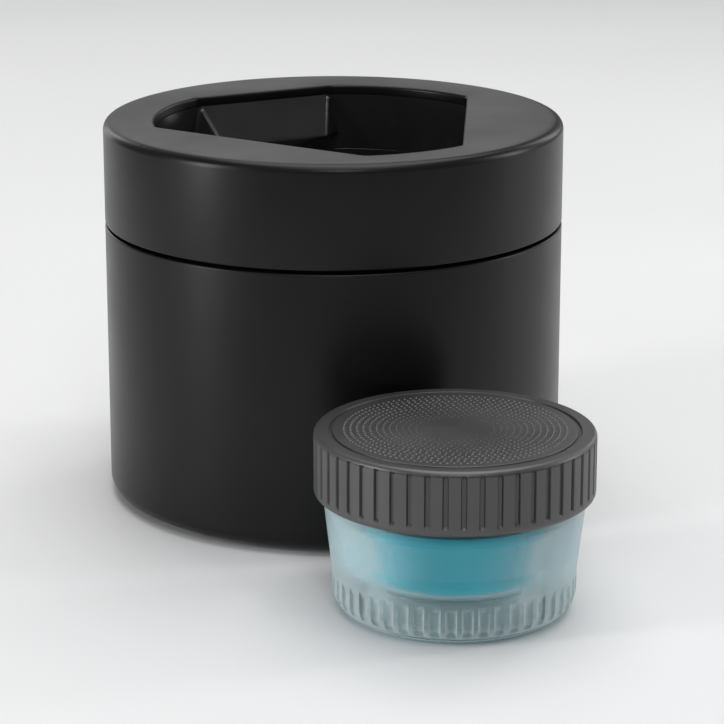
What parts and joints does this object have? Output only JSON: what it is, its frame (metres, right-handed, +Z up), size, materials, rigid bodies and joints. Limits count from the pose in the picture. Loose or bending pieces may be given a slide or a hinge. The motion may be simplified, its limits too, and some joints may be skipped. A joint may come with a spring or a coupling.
{
  "type": "shaver cleaning pod",
  "caption": "Cable-free cleaning pod: round black housing with a shaver bowl under a lift-off top, and a capped screw-top fluid cartridge beside it.",
  "frame": {"origin": "pod's axis at the surface that the pod and the cartridge stand on", "axes": "+Z up, front of the pod towards -Y, where the cartridge stands"},
  "size_m": [0.097, 0.1535, 0.081],
  "materials": {
    "black_plastic": "satin moulded plastic",
    "bowl_plastic": "smooth half-gloss moulded plastic",
    "inner_plastic": "plain moulded plastic",
    "foot_rubber": "matt",
    "seal_rubber": "smooth",
    "screw_steel": "zinc plated",
    "strainer_steel": "etched sheet",
    "frosted_cup": "frosted translucent polypropylene",
    "teal_fluid": "clear dyed liquid",
    "white_plastic": "natural moulded plastic",
    "mesh_fabric": "fine woven filter mesh",
    "cap_plastic": "satin, ribbed",
    "liner_foam": "closed foam"
  },
  "bodies": {
    "base": {"lower_housing": "black_plastic", "base_plate": "black_plastic", "foot_ring": "foot_rubber", "base_screws": "screw_steel", "cartridge_cradle": "inner_plastic", "cradle_deck": "inner_plastic"},
    "seal": {"top_seal": "seal_rubber"},
    "top": {"upper_housing": "black_plastic", "shaver_bowl": "bowl_plastic", "bowl_guide": "bowl_plastic", "drain_strainer": "strainer_steel", "duct_manifold": "inner_plastic", "spigot_seal": "seal_rubber", "bayonet_ring": "inner_plastic", "clamp_screws": "screw_steel"},
    "cartridge": {"cartridge_cup": "frosted_cup", "cleaning_fluid": "teal_fluid", "filter_insert": "white_plastic", "filter_mesh": "mesh_fabric", "dip_tube": "white_plastic"},
    "liner": {"cap_liner": "liner_foam"},
    "cap": {"screw_cap": "cap_plastic"}
  },
  "joints": [
    {"name": "top_lift", "type": "slide", "parent": "base", "child": "seal", "axis": [0, 0, 1], "range_m": [0, 0.06]},
    {"name": "top_turn", "type": "hinge", "parent": "seal", "child": "top", "pos_m": [0, 0, 0.059], "axis": [0, 0, 1], "range_deg": [-24, 0]},
    {"name": "cartridge_lift", "type": "slide", "parent": "base", "child": "cartridge", "axis": [0, 0, 1], "range_m": [0, 0.06]},
    {"name": "cap_rise", "type": "slide", "parent": "cartridge", "child": "liner", "axis": [0, 0, 1], "range_m": [0, 0.004]},
    {"name": "cap_turn", "type": "hinge", "parent": "liner", "child": "cap", "pos_m": [-0.01306, -0.07802, 0.03], "axis": [0, 0, 1], "range_deg": [0, 120]}
  ],
  "couplings": [
    {"joint": "cap_turn", "follows": "cap_rise", "rad_per_m": 523.6}
  ]
}
